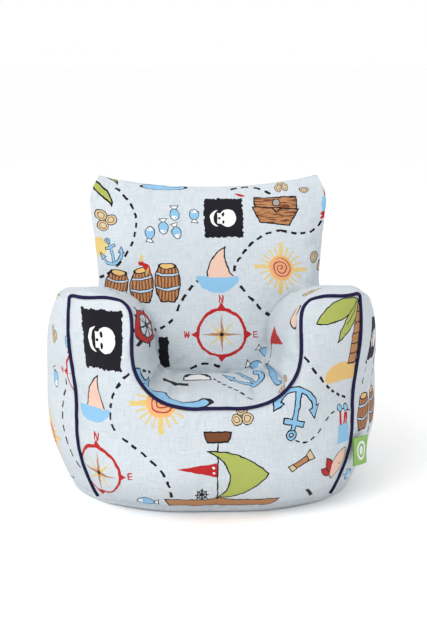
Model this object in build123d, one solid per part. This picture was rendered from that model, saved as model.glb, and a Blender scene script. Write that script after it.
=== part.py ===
from build123d import *

import math
import os

# A toddler's bean bag armchair. Millimetres, +Z up, the chair faces -Y, and the origin is the
# middle of its footprint on the floor.

# ---- Driving dimensions -------------------------------------------------------------------
FOOT_ROUNDING = 90          # the drum curves in towards the floor below this height
BULGE_HEIGHT = 150          # and draws in towards the top above this one
BARREL_TOP = 380            # it is drawn up to here, and the arm tops trim it
DRUM_RINGS = (16, 38, 66, 100, 150, 190, 230, 265, 295, 320, 342, 362, 380)
HALF_WIDTH = (198, 258, 200)        # at the floor, through the bulge, at the barrel top
HALF_DEPTH = (174, 235, 168)
FRONT_CORNER = (165, 215, 40)       # plan radius of the two front corners
REAR_CORNER = (165, 215, 160)
REAR_FLAT_Y = 222           # the back is flattened here, where the zip is sewn in

ARM_ROOF_HEIGHT = 304       # height of the arm tops over the middle of the footprint
ARM_ROOF_SLOPE = 0.12       # the arm tops fall by this much for each unit towards the back

SEAT_HEIGHT = 172
SEAT_HALF_WIDTH = (124, 92)         # at the front of the seat and at its back
SEAT_CORNER_RADIUS = (84, 40)       # the scoop's lower corners
ARM_LIP_RADIUS = (30, 72)           # where an arm's inside wall rolls into its top
SEAT_FRONT_Y = -235
CREASE_Y = -15              # where the seat meets the backrest
SCOOP_REAR_Y = 70           # the scoop is drawn back to here, behind the backrest
BACK_LEAN = 22.6            # degrees from upright

HEADREST_HALF_WIDTH = 194
HEADREST_TOP = 460          # height of the dip between the two ears
EAR_RISE = 15               # the two top corners stand this much higher
WAIST_INSET = 7             # the headrest is this much narrower just above the arms
HEADREST_FOOT = 235         # the headrest is drawn from here, inside the drum
HEADREST_FOOT_REAR = 206
HEADREST_TOP_REAR = 150
PILLOW_START = 395          # above this height the headrest's face curves away backwards

COVER_THICKNESS = 2
LINER_INSET = 6
LINER_THICKNESS = 1
FILL_GAP = 0.5
BASE_SEAM_HEIGHT = 10
BACK_SEAM_HEIGHT = 275      # the seam across the back, above the zip
FRONT_SEAM_SLOPE = 0.78     # y over x of the two upright front seams, in plan

PIPING_RADIUS = 3
PIPING_CORD_RADIUS = 1.9
PIPING_WALL = 1
PIPING_CORNER_LIFT = 1.6    # stands the path's outer corner off, since its arc cuts inside it
PIPING_SEAT = 3.6           # from the seam's middle to the panel edges beside the piping

ZIP_FOOT = 62
ZIP_HEAD = 248
ZIP_SLOT_HALF = 6
ZIP_COIL_GAP = 0.8          # from the middle line to a coil
ZIP_COIL_WIDTH = 1.8
ZIP_COIL_DEPTH = 3
ZIP_TOOTH_PITCH = 3
ZIP_STOP_HEIGHT = 3
SLIDER_LENGTH = 12
SLIDER_HALF_WIDTH = 5
SLIDER_PLATE = 1.2
SLIDER_CLEARANCE = 0.3

TAG_LENGTH = 34             # along its fold, away from the seam
TAG_HEIGHT = 44
TAG_THICKNESS = 1.2
TAG_MIDDLE_HEIGHT = 82
TAG_LIFT = 4.1              # from the seam out to the label's fold line
TAG_START = 0.7             # from the fold line to the label's edge

FAR = 600                   # larger than the chair, for trimming blocks


# ---- The drum's formula -------------------------------------------------------------------
def along_height(z, sizes, draw_in):
    """A size at height z, from its three values: a rounded foot, a bulge, then a drawing in."""
    floor, bulge, top = sizes
    foot = max(0, 1 - z / FOOT_ROUNDING)
    rise = max(0, z - BULGE_HEIGHT) / (BARREL_TOP - BULGE_HEIGHT)
    return bulge - (bulge - floor) * foot ** 4 - (bulge - top) * rise ** draw_in


def drum_plan(z, inset=0):
    """Half width, half depth, front and rear corner radius of the drum at height z."""
    sizes = (
        along_height(z, HALF_WIDTH, 3),
        along_height(z, HALF_DEPTH, 3),
        along_height(z, FRONT_CORNER, 1.5),
        along_height(z, REAR_CORNER, 1.5),
    )
    return [size - inset for size in sizes]


def drum_ring(z, height, inset):
    """The drum's outline in plan: formula taken at z, drawn at height."""
    slope = along_height(z + 1, HALF_WIDTH, 3) - along_height(z, HALF_WIDTH, 3)
    wide, deep, front, rear = drum_plan(z, inset * math.hypot(1, slope))
    diagonal = math.sqrt(0.5)
    half = (
        Line((0, -deep), (wide - front, -deep))
        + ThreePointArc(
            (wide - front, -deep),
            (wide - front + front * diagonal, -deep + front - front * diagonal),
            (wide, -deep + front),
        )
        + Line((wide, -deep + front), (wide, deep - rear))
        + ThreePointArc(
            (wide, deep - rear),
            (wide - rear + rear * diagonal, deep - rear + rear * diagonal),
            (wide - rear, deep),
        )
        + Line((wide - rear, deep), (0, deep))
    )
    return Plane.XY.offset(height) * make_face(half + mirror(half, about=Plane.YZ))


def drum_front_y(x, z):
    """The y of the drum's front surface at x and height z."""
    wide, deep, front, _ = drum_plan(z)
    past = max(0, abs(x) - (wide - front))
    return -(deep - front) - math.sqrt(max(0, front ** 2 - past ** 2))


def seam_x(z):
    """The x at height z where an upright front seam crosses the drum's surface."""
    wide, deep, front, _ = drum_plan(z)
    cx = wide - front
    cy = deep - front
    a = 1 + FRONT_SEAM_SLOPE ** 2
    b = cx + FRONT_SEAM_SLOPE * cy
    c = cx ** 2 + cy ** 2 - front ** 2
    return (b + math.sqrt(b ** 2 - a * c)) / a


# ---- Trimming volumes. Each takes an inset, which moves it into the chair's material -------
def drum(inset):
    rings = [drum_ring(0, inset, inset)]
    for z in DRUM_RINGS:
        rings.append(drum_ring(z, z, inset))
    body = loft(rings)
    return body - Pos(0, REAR_FLAT_Y - inset + FAR / 2, FAR / 2) * Box(FAR, FAR, 2 * FAR)


def arm_roof(y):
    return ARM_ROOF_HEIGHT - ARM_ROOF_SLOPE * y


def above_arms(inset):
    """Everything over the sloping arm tops."""
    height = ARM_ROOF_HEIGHT - inset
    line = Polyline(
        (-FAR, height + ARM_ROOF_SLOPE * FAR),
        (FAR, height - ARM_ROOF_SLOPE * FAR),
        (FAR, 3 * FAR),
        (-FAR, 3 * FAR),
        close=True,
    )
    return extrude(make_face(Plane.YZ * line), FAR, both=True)


def back_y(z, shift):
    """The y of the inside back's surface at height z, moved back by shift square to itself."""
    lean = math.radians(BACK_LEAN)
    return CREASE_Y + (z - SEAT_HEIGHT) * math.tan(lean) + shift / math.cos(lean)


def before_back(shift):
    """Everything in front of the leaning inside back."""
    line = Polyline(
        (back_y(-FAR, shift), -FAR),
        (back_y(2 * FAR, shift), 2 * FAR),
        (-3 * FAR, 2 * FAR),
        (-3 * FAR, -FAR),
        close=True,
    )
    return extrude(make_face(Plane.YZ * line), FAR, both=True)


def at_depth(sizes, y):
    """A size that changes evenly from the front of the seat to its back."""
    front, back = sizes
    return front + (y - SEAT_FRONT_Y) / (CREASE_Y - SEAT_FRONT_Y) * (back - front)


def scoop_outline(y, inset):
    """The seat's opening seen from the front, at depth y: a round-cornered U with flared lips."""
    half = at_depth(SEAT_HALF_WIDTH, y) + inset
    seat = SEAT_HEIGHT - inset
    roof = arm_roof(y) - inset
    lip = at_depth(ARM_LIP_RADIUS, y)
    corner = at_depth(SEAT_CORNER_RADIUS, y)
    bend = corner * (1 - math.sqrt(0.5))
    roll = lip * (1 - math.sqrt(0.5))
    right = (
        Line((0, seat), (half - corner, seat))
        + ThreePointArc((half - corner, seat), (half - bend, seat + bend), (half, seat + corner))
        + Line((half, seat + corner), (half, roof - lip))
        + ThreePointArc((half, roof - lip), (half + roll, roof - roll), (half + lip, roof))
        + Line((half + lip, roof), (half + lip, FAR))
        + Line((half + lip, FAR), (0, FAR))
        + Line((0, FAR), (0, seat))
    )
    outline = make_face(right) + mirror(make_face(right), about=Plane.YZ)
    return Plane.XZ.offset(-y) * outline


def scoop(inset):
    """The seat's opening, narrowing from the front to the backrest."""
    return loft([scoop_outline(SEAT_FRONT_Y - 60, inset), scoop_outline(SCOOP_REAR_Y, inset)], ruled=True)


def headrest_plan(z, side, rear):
    """The headrest from above at height z: straight sides as far back as side, a round rear."""
    half = HEADREST_HALF_WIDTH
    sides = Polyline((-half, side), (-half, -FAR), (half, -FAR), (half, side))
    return Plane.XY.offset(z) * make_face(
        sides + ThreePointArc((half, side), (0, rear), (-half, side))
    )


def headrest_front_view():
    """The headrest from the front: a waist over the arms, two ears and a dip between them."""
    half = HEADREST_HALF_WIDTH
    waist = half - WAIST_INSET
    brow = HEADREST_TOP - 30
    ear = HEADREST_TOP + EAR_RISE
    side = ThreePointArc((half, HEADREST_FOOT + 20), (waist, 345), (half - 2, brow))
    right = (
        Line((0, 0), (half, 0))
        + Line((half, 0), (half, HEADREST_FOOT + 20))
        + side
        + Line((half - 2, brow), (half - 10, ear))
    )
    dip = ThreePointArc((half - 10, ear), (0, HEADREST_TOP), (10 - half, ear))
    return make_face(right + mirror(right, about=Plane.YZ) + dip)


def headrest_side_view():
    """The headrest from the side: the leaning face, which rolls back into the top seam."""
    ear = HEADREST_TOP + EAR_RISE
    lean = math.radians(BACK_LEAN)
    start = (back_y(PILLOW_START, 0), PILLOW_START)
    end = (HEADREST_TOP_REAR - 14, ear)
    return make_face(
        Line((back_y(0, 0), 0), start)
        + TangentArc(start, end, tangent=(math.sin(lean), math.cos(lean)))
        + Line(end, (FAR, ear))
        + Line((FAR, ear), (FAR, 0))
        + Line((FAR, 0), (back_y(0, 0), 0))
    )


def shrunk(outline, inset):
    return offset(outline, -inset, kind=Kind.INTERSECTION) if inset else outline


def headrest(inset):
    """A leaning pillow as tall as the chair, whose foot runs down into the drum."""
    wedge = loft(
        [
            headrest_plan(HEADREST_FOOT, 92, HEADREST_FOOT_REAR - inset),
            headrest_plan(HEADREST_TOP + 2 * EAR_RISE, 126, HEADREST_TOP_REAR - inset),
        ],
        ruled=True,
    )
    front = extrude(Plane.XZ * shrunk(headrest_front_view(), inset), FAR, both=True)
    side = extrude(Plane.YZ * shrunk(headrest_side_view(), inset), FAR, both=True)
    return wedge & front & side


def chair(inset):
    """The chair's solid shape, shrunk by inset."""
    body = drum(inset) - above_arms(inset) - (scoop(inset) & before_back(inset))
    return body + headrest(inset)


# ---- Sewn cover: one shell, cut along its seams --------------------------------------------
def lip_profile(angle, y):
    """Where the arm's lip has turned this far, from its wall (0) to its top (90)."""
    turn = math.radians(angle)
    lip = at_depth(ARM_LIP_RADIUS, y)
    x = at_depth(SEAT_HALF_WIDTH, y) + lip * (1 - math.cos(turn))
    return x, arm_roof(y) + lip * (math.sin(turn) - 1)


def corner_profile(angle, y):
    """Where the lower corner has turned this far, from the seat (0) to the wall (90)."""
    turn = math.radians(angle)
    corner = at_depth(SEAT_CORNER_RADIUS, y)
    x = at_depth(SEAT_HALF_WIDTH, y) + corner * (math.sin(turn) - 1)
    return x, SEAT_HEIGHT + corner * (1 - math.cos(turn))


def wall_profile(share, y):
    x, foot = corner_profile(90, y)
    top = lip_profile(0, y)[1]
    return x, foot + share * (top - foot)


def rim_point(profile, place):
    """The point of the seat's front rim at this place of its profile."""
    y = SEAT_FRONT_Y
    for _ in range(6):
        x, z = profile(place, y)
        y = drum_front_y(x, z)
    return (x, y, z)


def arm_corner():
    """The outer front corner of an arm's top, where the upright seam meets the roof."""
    z = ARM_ROOF_HEIGHT
    for _ in range(5):
        x = seam_x(z)
        z = arm_roof(-FRONT_SEAM_SLOPE * x)
    return (x, -FRONT_SEAM_SLOPE * x, z)


def roof_edge_point(x):
    """The point at x where an arm's top meets the drum's front surface."""
    z = ARM_ROOF_HEIGHT
    for _ in range(6):
        y = drum_front_y(x, z)
        z = arm_roof(y)
    return (x, y, z)


def piping_points():
    """The front seam's route: up the outside, over an arm, round the seat, and the same again."""
    top = arm_corner()
    right = []
    for z in (14, 24, 36, 50, 70, 100, 150, 200, 250, 285, 302, top[2] - 8):
        right.append((seam_x(z), -FRONT_SEAM_SLOPE * seam_x(z), z))
    right.append((top[0] + PIPING_CORNER_LIFT, top[1], top[2] + PIPING_CORNER_LIFT))
    lip_start = rim_point(lip_profile, 90)
    for share in (0.1, 0.24, 0.38, 0.52, 0.66, 0.82):
        right.append(roof_edge_point(top[0] + share * (lip_start[0] - top[0])))
    for angle in (90, 75, 60, 45, 30, 15, 0):
        right.append(rim_point(lip_profile, angle))
    for share in (0.67, 0.33):
        right.append(rim_point(wall_profile, share))
    for angle in (90, 75, 60, 45, 30, 15, 0):
        right.append(rim_point(corner_profile, angle))
    return right + [(-x, y, z) for x, y, z in reversed(right)]


def corner_radii(points):
    """The largest tangent arc that the two runs beside each corner leave room for."""
    radii = []
    for before, here, after in zip(points, points[1:], points[2:]):
        a = Vector(*here) - Vector(*before)
        b = Vector(*after) - Vector(*here)
        turn = math.radians(max(0.5, a.get_angle(b)))
        radii.append(min(80, 0.45 * min(a.length, b.length) / math.tan(turn / 2)))
    return radii


def piping_path():
    points = piping_points()
    return FilletPolyline(*points, radius=corner_radii(points))


def swept_round(path, radius):
    return sweep(Plane(origin=path @ 0, z_dir=path % 0) * Circle(radius), path=path)


def before_front_seams(margin):
    """A wedge in plan that runs up to the two upright front seams, and past them by margin."""
    apex = margin * math.hypot(1, FRONT_SEAM_SLOPE)
    edge = apex - FRONT_SEAM_SLOPE * FAR
    line = Polyline((0, apex), (FAR, edge), (FAR, -FAR), (-FAR, -FAR), (-FAR, edge), close=True)
    return extrude(make_face(line), FAR)


def inside_back_region():
    """The front half of the headrest and the backrest under it."""
    foot = SEAT_HEIGHT - PIPING_SEAT
    line = Polyline(
        (back_y(foot, 0), foot),
        (back_y(FAR, 0), FAR),
        (back_y(FAR, 0) + 30, FAR),
        (124, HEADREST_TOP),
        (60, ARM_ROOF_HEIGHT),
        (back_y(SEAT_HEIGHT, 0) + 30, foot),
        close=True,
    )
    return extrude(make_face(Plane.YZ * line), HEADREST_HALF_WIDTH + 1, both=True)


def cover_panels():
    """The cover's seven pieces, each cut out of one shell by the regions its neighbours own."""
    shell = chair(0) - chair(COVER_THICKNESS)
    base = Pos(0, 0, BASE_SEAM_HEIGHT - FAR / 2) * Box(2 * FAR, 2 * FAR, FAR)
    band = before_back(0) & (scoop(PIPING_SEAT) + above_arms(PIPING_SEAT))
    rim = before_front_seams(PIPING_SEAT) - drum(PIPING_SEAT)
    back = inside_back_region()
    crown = Pos(0, FAR / 2, BACK_SEAM_HEIGHT + FAR / 2) * Box(
        2 * HEADREST_HALF_WIDTH + 2, FAR, FAR
    )
    wedge = before_front_seams(-PIPING_SEAT)
    slot_middle = (ZIP_HEAD + ZIP_FOOT) / 2
    slot = Pos(0, REAR_FLAT_Y, slot_middle) * Box(2 * ZIP_SLOT_HALF, 40, ZIP_HEAD - ZIP_FOOT)
    left = Pos(-FAR / 2, 0, 0) * Box(FAR, 2 * FAR, 2 * FAR)
    right = Pos(FAR / 2, 0, 0) * Box(FAR, 2 * FAR, 2 * FAR)
    sides = shell - [base, band, back, crown, before_front_seams(PIPING_SEAT), slot]
    return {
        "base_panel": shell & base,
        "seat_band": (shell & band) - rim,
        "inside_back_panel": (shell & back) - [base, band],
        "headrest_rear_panel": (shell & crown) - [band, back],
        "front_panel": (shell & wedge) - [base, band, back],
        "side_panel_left": sides & left,
        "side_panel_right": sides & right,
    }


# ---- Piping, zip, label and filling --------------------------------------------------------
def piping():
    path = piping_path()
    cover = swept_round(path, PIPING_RADIUS) - swept_round(path, PIPING_RADIUS - PIPING_WALL)
    return {"piping_cover": cover, "piping_cord": swept_round(path, PIPING_CORD_RADIUS)}


def zip_coil(side):
    """One row of teeth on a spine, on the given side of the middle line."""
    foot = ZIP_FOOT + ZIP_STOP_HEIGHT
    head = ZIP_HEAD - ZIP_STOP_HEIGHT
    middle_y = REAR_FLAT_Y - COVER_THICKNESS / 2
    spine_x = side * (ZIP_COIL_GAP + ZIP_COIL_WIDTH * 0.75)
    coil = Pos(spine_x, middle_y, (foot + head) / 2) * Box(
        ZIP_COIL_WIDTH / 2, ZIP_COIL_DEPTH, head - foot
    )
    count = int((head - foot) // ZIP_TOOTH_PITCH)
    tooth_x = side * (ZIP_COIL_GAP + ZIP_COIL_WIDTH / 4)
    tooth = Box(ZIP_COIL_WIDTH / 2, ZIP_COIL_DEPTH * 0.8, ZIP_TOOTH_PITCH / 2)
    teeth = []
    for i in range(count):
        teeth.append(Pos(tooth_x, middle_y, foot + (i + 0.5) * ZIP_TOOTH_PITCH) * tooth)
    return coil + teeth


def zip_tape(side):
    inner = ZIP_COIL_GAP + ZIP_COIL_WIDTH
    width = ZIP_SLOT_HALF - inner
    middle_y = REAR_FLAT_Y - COVER_THICKNESS / 2
    return Pos(side * (inner + width / 2), middle_y, (ZIP_FOOT + ZIP_HEAD) / 2) * Box(
        width, 1, ZIP_HEAD - ZIP_FOOT
    )


def zip_stop(z):
    """A metal clip that bridges both coils at one end."""
    middle_y = REAR_FLAT_Y - COVER_THICKNESS / 2
    half = ZIP_COIL_GAP + ZIP_COIL_WIDTH
    return Pos(0, middle_y, z) * Box(2 * half, ZIP_COIL_DEPTH + 0.6, ZIP_STOP_HEIGHT)


def zip_slider():
    """Two plates joined by a thin web in the gap between the coils, and a bar with no pull tab."""
    middle_y = REAR_FLAT_Y - COVER_THICKNESS / 2
    z = ZIP_FOOT + ZIP_STOP_HEIGHT + SLIDER_LENGTH / 2 + SLIDER_CLEARANCE
    reach = ZIP_COIL_DEPTH / 2 + SLIDER_CLEARANCE
    flange = 0.8
    lip = 0.7
    top_y = middle_y + reach + SLIDER_PLATE / 2
    low_y = middle_y - reach - SLIDER_PLATE / 2
    plate = Box(2 * SLIDER_HALF_WIDTH, SLIDER_PLATE, SLIDER_LENGTH)
    plate = fillet(plate.edges().filter_by(Axis.Y), 2)
    slider = Pos(0, top_y, z) * plate + Pos(0, low_y, z) * plate
    slider += Pos(0, middle_y, z) * Box(1, 2 * reach, SLIDER_LENGTH * 0.6)
    rail_y = top_y - (SLIDER_PLATE + lip) / 2
    for side in (-1, 1):
        rail = Box(flange, lip, SLIDER_LENGTH * 0.6)
        slider += Pos(side * (SLIDER_HALF_WIDTH - flange / 2), rail_y, z) * rail
    bar_y = top_y + SLIDER_PLATE / 2
    for end in (-1, 1):
        slider += Pos(0, bar_y + 0.9, z + end * 3.4) * Box(2.2, 1.8, 1.2)
    return slider + Pos(0, bar_y + 2.2, z) * Box(2.2, 0.9, 8)


def tag_seat():
    """The label's fold line, as x and y, and the heading in degrees that the label lies along."""
    wide, deep, front, _ = drum_plan(TAG_MIDDLE_HEIGHT)
    x = seam_x(TAG_MIDDLE_HEIGHT)
    y = -FRONT_SEAM_SLOPE * x
    out_x = (x - (wide - front)) / front
    out_y = (y + (deep - front)) / front
    heading = math.degrees(math.atan2(out_x, -out_y))
    return x + TAG_LIFT * out_x, y + TAG_LIFT * out_y, heading


def side_tag():
    """A folded ribbon label, held in the right front seam and lying back along the side."""
    x, y, heading = tag_seat()
    label = Box(TAG_LENGTH, TAG_THICKNESS, TAG_HEIGHT)
    label = fillet(label.edges().filter_by(Axis.Y).group_by(Axis.X)[-1], 3)
    place = Pos(x, y, TAG_MIDDLE_HEIGHT) * Rot(0, 0, heading)
    return place * Pos(TAG_START + TAG_LENGTH / 2, 0, 0) * label


def filling():
    inner = LINER_INSET + LINER_THICKNESS
    return {
        "inner_liner": chair(LINER_INSET) - chair(inner),
        "bead_fill": chair(inner + FILL_GAP),
    }


def parts():
    made = cover_panels() | piping() | filling()
    for side, name in ((-1, "left"), (1, "right")):
        made[f"zip_tape_{name}"] = zip_tape(side)
        made[f"zip_coil_{name}"] = zip_coil(side)
    made["zip_bottom_stop"] = zip_stop(ZIP_FOOT + ZIP_STOP_HEIGHT / 2)
    made["zip_top_stop"] = zip_stop(ZIP_HEAD - ZIP_STOP_HEIGHT / 2)
    made["zip_slider"] = zip_slider()
    made["side_tag"] = side_tag()
    return made


os.makedirs("parts", exist_ok=True)
for node, shape in parts().items():
    export_step(shape, f"parts/{node}.step")
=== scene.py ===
import functools
import math

import bmesh
import bpy
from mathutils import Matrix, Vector


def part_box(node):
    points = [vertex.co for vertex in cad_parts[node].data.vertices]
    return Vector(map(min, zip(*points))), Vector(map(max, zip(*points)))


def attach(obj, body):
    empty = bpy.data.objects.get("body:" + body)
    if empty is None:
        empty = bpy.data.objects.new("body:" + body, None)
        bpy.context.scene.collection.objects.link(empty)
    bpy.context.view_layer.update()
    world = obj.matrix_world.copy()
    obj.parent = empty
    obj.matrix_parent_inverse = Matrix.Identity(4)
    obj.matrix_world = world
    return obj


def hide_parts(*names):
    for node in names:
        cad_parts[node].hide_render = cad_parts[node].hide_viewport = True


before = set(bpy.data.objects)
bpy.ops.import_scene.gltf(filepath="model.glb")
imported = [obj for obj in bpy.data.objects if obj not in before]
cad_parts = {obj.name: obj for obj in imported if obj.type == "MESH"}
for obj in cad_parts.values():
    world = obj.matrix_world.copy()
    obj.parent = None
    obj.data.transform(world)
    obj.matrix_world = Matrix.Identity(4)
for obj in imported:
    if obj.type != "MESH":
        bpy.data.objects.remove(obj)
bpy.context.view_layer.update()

MM = 0.001

# ---- Shape of the body, in millimetres ----
SEAT = 172  # height of the seat
SEAT_FRONT = -235  # the seat's section changes from here back
SEAT_DEPTH = 220
SEAT_HALF = (124, 92)  # half width, at the front of the seat and at its back
CORNER = (84, 40)  # radius where the seat turns up into the inside arm
LIP = (30, 72)  # radius where the inside arm turns over into the arm top
CORNER_TURNS = {2: 0, 3: 27, 4: 53, 5: 77}  # station of the seat's section: degrees round
LIP_TURNS = {7: 25, 8: 58, 9: 90}
ROOF = 304  # height of the arm tops at mid depth
ROOF_SLOPE = 0.12
SEAM_SLOPE = 0.78  # the front seams stand over the line y = -SEAM_SLOPE * x
CREASE_Y = -15  # where the seat meets the inside back
LEAN = math.tan(math.radians(22.6))
FOOT_TOP = 90  # the drum draws in below this height
SHOULDER = 150  # and above this one
SHOULDER_RISE = 230
REAR_FLAT = 222  # the zip's stretch of the back is no deeper than this
HEM = 10  # height of the lowest ring of points
SETTLE = 8  # rounds that bring a point onto two surfaces at once


def along(z, sizes, power, foot_power=4):
    """A measure of the drum at height z, from its sizes at the floor, the bulge and the top."""
    floor, bulge, top = sizes
    foot = max(0.0, 1 - z / FOOT_TOP)
    rise = max(0.0, z - SHOULDER) / SHOULDER_RISE
    return bulge - (bulge - floor) * foot**foot_power - (bulge - top) * rise**power


def plan(z):
    """Half width, half depth, front and rear corner radius of the drum at height z."""
    return (
        along(z, (196, 254, 200), 3, 6),
        along(z, (174, 235, 168), 3),
        along(z, (165, 215, 40), 1.5),
        along(z, (165, 215, 160), 1.5),
    )


def front_y(x, z):
    wide, deep, front, _ = plan(z)
    past = max(0.0, abs(x) - (wide - front))
    return -(deep - front) - math.sqrt(max(0.0, front**2 - past**2))


def seam_x(z):
    wide, deep, front, _ = plan(z)
    cx, cy = wide - front, deep - front
    a = 1 + SEAM_SLOPE**2
    b = cx + SEAM_SLOPE * cy
    return (b + math.sqrt(b * b - a * (cx * cx + cy * cy - front * front))) / a


def ring(z, share):
    """A point of the drum's outline from the front seam (0) round to the centre back (1)."""
    wide, deep, front, rear = plan(z)
    x0 = seam_x(z)
    start = math.asin(min(1.0, (SEAM_SLOPE * x0 - (deep - front)) / front))
    runs = (front * start, 2 * deep - front - rear, rear * math.pi / 2, wide - rear)
    s = share * sum(runs)
    if s < runs[0]:
        a = start - s / front
        x, y = wide - front + front * math.cos(a), -(deep - front) - front * math.sin(a)
        return Vector((x, y, z))
    s -= runs[0]
    if s < runs[1]:
        return Vector((wide, -(deep - front) + s, z))
    s -= runs[1]
    if s < runs[2]:
        a = s / rear
        x, y = wide - rear + rear * math.cos(a), deep - rear + rear * math.sin(a)
        return Vector((x, min(REAR_FLAT, y), z))
    s -= runs[2]
    return Vector((max(0.0, wide - rear - s), min(REAR_FLAT, deep), z))


def roof(y):
    return ROOF - ROOF_SLOPE * y


def at_depth(sizes, y):
    front, back = sizes
    return mix(front, back, (y - SEAT_FRONT) / SEAT_DEPTH)


def back_y(z):
    return CREASE_Y + (z - SEAT) * LEAN


def mix(a, b, t):
    return a + (b - a) * t


# ---- Cage: named points on the right half, joined into patches ----
def u_section(k, y):
    """Station k of the seat's U at depth y: x and z."""
    half, corner, lip = (at_depth(sizes, y) for sizes in (SEAT_HALF, CORNER, LIP))
    if k == 0:
        return 0.0, SEAT
    if k == 1:
        return (half - corner) * 0.5, SEAT
    if k <= 5:
        a = math.radians(CORNER_TURNS[k])
        return half - corner + corner * math.sin(a), SEAT + corner * (1 - math.cos(a))
    if k == 6:
        return half, mix(SEAT + corner, roof(y) - lip, 0.5)
    a = math.radians(LIP_TURNS[k])
    return half + lip * (1 - math.cos(a)), roof(y) - lip * (1 - math.sin(a))


def rim_station(k):
    """Where station k of the seat's section meets the front."""
    y = SEAT_FRONT
    for _ in range(SETTLE):
        x, z = u_section(k, y)
        y = front_y(x, z)
    return Vector((x, y, z))


def arm_corner():
    """Where the front seam ends at the arm top."""
    z = ROOF
    for _ in range(SETTLE):
        x = seam_x(z)
        z = roof(-SEAM_SLOPE * x)
    return Vector((x, -SEAM_SLOPE * x, z))


def roof_front(x):
    z = 340.0
    for _ in range(SETTLE):
        y = front_y(x, z)
        z = roof(y)
    return Vector((x, y, z))


def rear_station(k):
    """Where station k of the seat band ends at the inside back."""
    y = CREASE_Y
    for _ in range(SETTLE):
        x, z = u_section(k, y)
        y = back_y(z)
    return Vector((x, y, z))


SHARES = (0, 0.1, 0.2, 0.3, 0.39, 0.47, 0.55, 0.63, 0.71, 0.785, 0.86, 0.93, 1)  # see ring
SIDE_ROWS = ((HEM, HEM), (92, 85), (175, 160), (258, 232))  # heights, at the front and the back
HEAD_ROWS = ((318, 0), (358, 0), (398, 3), (437, 12))  # height, and lean beyond the plane
ELBOW = Vector((187, 70, 292))  # where arm top, headrest and side panel meet
EAR = Vector((180, 126, 474))
SIDE_SEAM = (ELBOW, Vector((184, 88, 330)), Vector((188, 100, 370)), Vector((193, 110, 408)),
             Vector((195, 118, 444)), EAR)
REAR_FOOT = 283  # height of the headrest rear's lower seam
BACK_STRETCH = 1.08  # length up the leaning back for each unit of height
SIDE_START = 260  # where the side panel's cloth begins across the print


def place_front(pt):
    for k in range(9):
        pt["F", k, 0] = rim_station(k)
    for k, x in enumerate((0, 45, 95, 148)):
        pt["F", k, 4] = Vector((x, front_y(x, HEM), HEM))
    for m, (z, _) in enumerate(SIDE_ROWS):
        x = seam_x(z)
        pt["F", 4 + m, 4] = Vector((x, -SEAM_SLOPE * x, z))
    top, lip = arm_corner(), rim_station(9)
    pt["F", 8, 4] = top
    pt["F", 8, 1] = lip
    pt["F", 8, 2] = roof_front(mix(lip.x, top.x, 0.36))
    pt["F", 8, 3] = roof_front(mix(lip.x, top.x, 0.72))
    for k in range(8):
        for m in (1, 2, 3):
            a, b = pt["F", k, 0], pt["F", k, 4]
            t = m / 4
            x, z = mix(a.x, b.x, t), mix(a.z, b.z, t)
            pt["F", k, m] = Vector((x, front_y(x, z), z))


def place_side(pt):
    for m in range(5):
        pt["S", 0, m] = pt["F", 4 + m, 4]
    for c in range(1, 13):
        back = max(0.0, (c - 3) / 9)
        for m, heights in enumerate(SIDE_ROWS):
            pt["S", c, m] = ring(mix(*heights, back), SHARES[c])
    for c in range(1, 5):
        z = 320.0
        for _ in range(6):
            p = ring(z, SHARES[c])
            z = roof(p.y)
        pt["S", c, 4] = Vector((p.x - 2, p.y, z - 1))
    pt["S", 5, 4] = ELBOW
    for c in range(6, 13):
        a = (c - 5) / 7 * math.pi / 2
        x, y = 187 * math.cos(a) ** 0.9, mix(92, 206, math.sin(a) ** 0.8)
        pt["S", c, 4] = Vector((x, y, REAR_FOOT))


def place_seat_band(pt):
    for s in range(9):
        pt["B", s, 0] = pt["F", s, 0]
        pt["B", s, 4] = rear_station(s)
    for m in range(1, 5):
        pt["B", 8 + m, 0] = pt["F", 8, m]
    pt["B", 9, 4] = Vector((145, 38, 293))
    pt["B", 10, 4] = Vector((167, 47, 295))
    pt["B", 11, 4] = ELBOW
    for t in range(5):
        pt["B", 12, t] = pt["S", t, 4]
    for s in range(12):
        for t in (1, 2, 3):
            pt["B", s, t] = pt["B", s, 0].lerp(pt["B", s, 4], t / 4)
            if s >= 9:
                pt["B", s, t].z += 3


def place_inside_back(pt):
    """The lower part, between the arms, and the upper one."""
    for i in range(4):
        pt["L", i, 0] = pt["B", i, 4]
    for j in range(1, 5):
        pt["L", 3, j] = pt["B", 3 + j, 4]
        for i in range(3):
            x = pt["L", 3, j].x * i / 3
            z = pt["L", 3, j].z
            pt["L", i, j] = Vector((x, back_y(z), z))
    for i in range(8):
        pt["V", i, 0] = pt["L", i, 4] if i < 4 else pt["B", 4 + i, 4]
    for j in range(6):
        pt["V", 7, j] = SIDE_SEAM[j]
    across = (0, 0.18, 0.36, 0.53, 0.66, 0.78, 0.9)
    for i in range(7):
        for j in range(1, 6):
            edge = SIDE_SEAM[j]
            x = edge.x * across[i]
            if j == 5:
                pt["V", i, 5] = Vector((x, 128, 456 + 18 * across[i] ** 2.2))
                continue
            z, lean = HEAD_ROWS[j - 1]
            y = back_y(z) + lean + max(0, across[i] - 0.66) * 34
            pt["V", i, j] = Vector((x, y, z + (edge.z - z) * across[i] ** 4))


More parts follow.
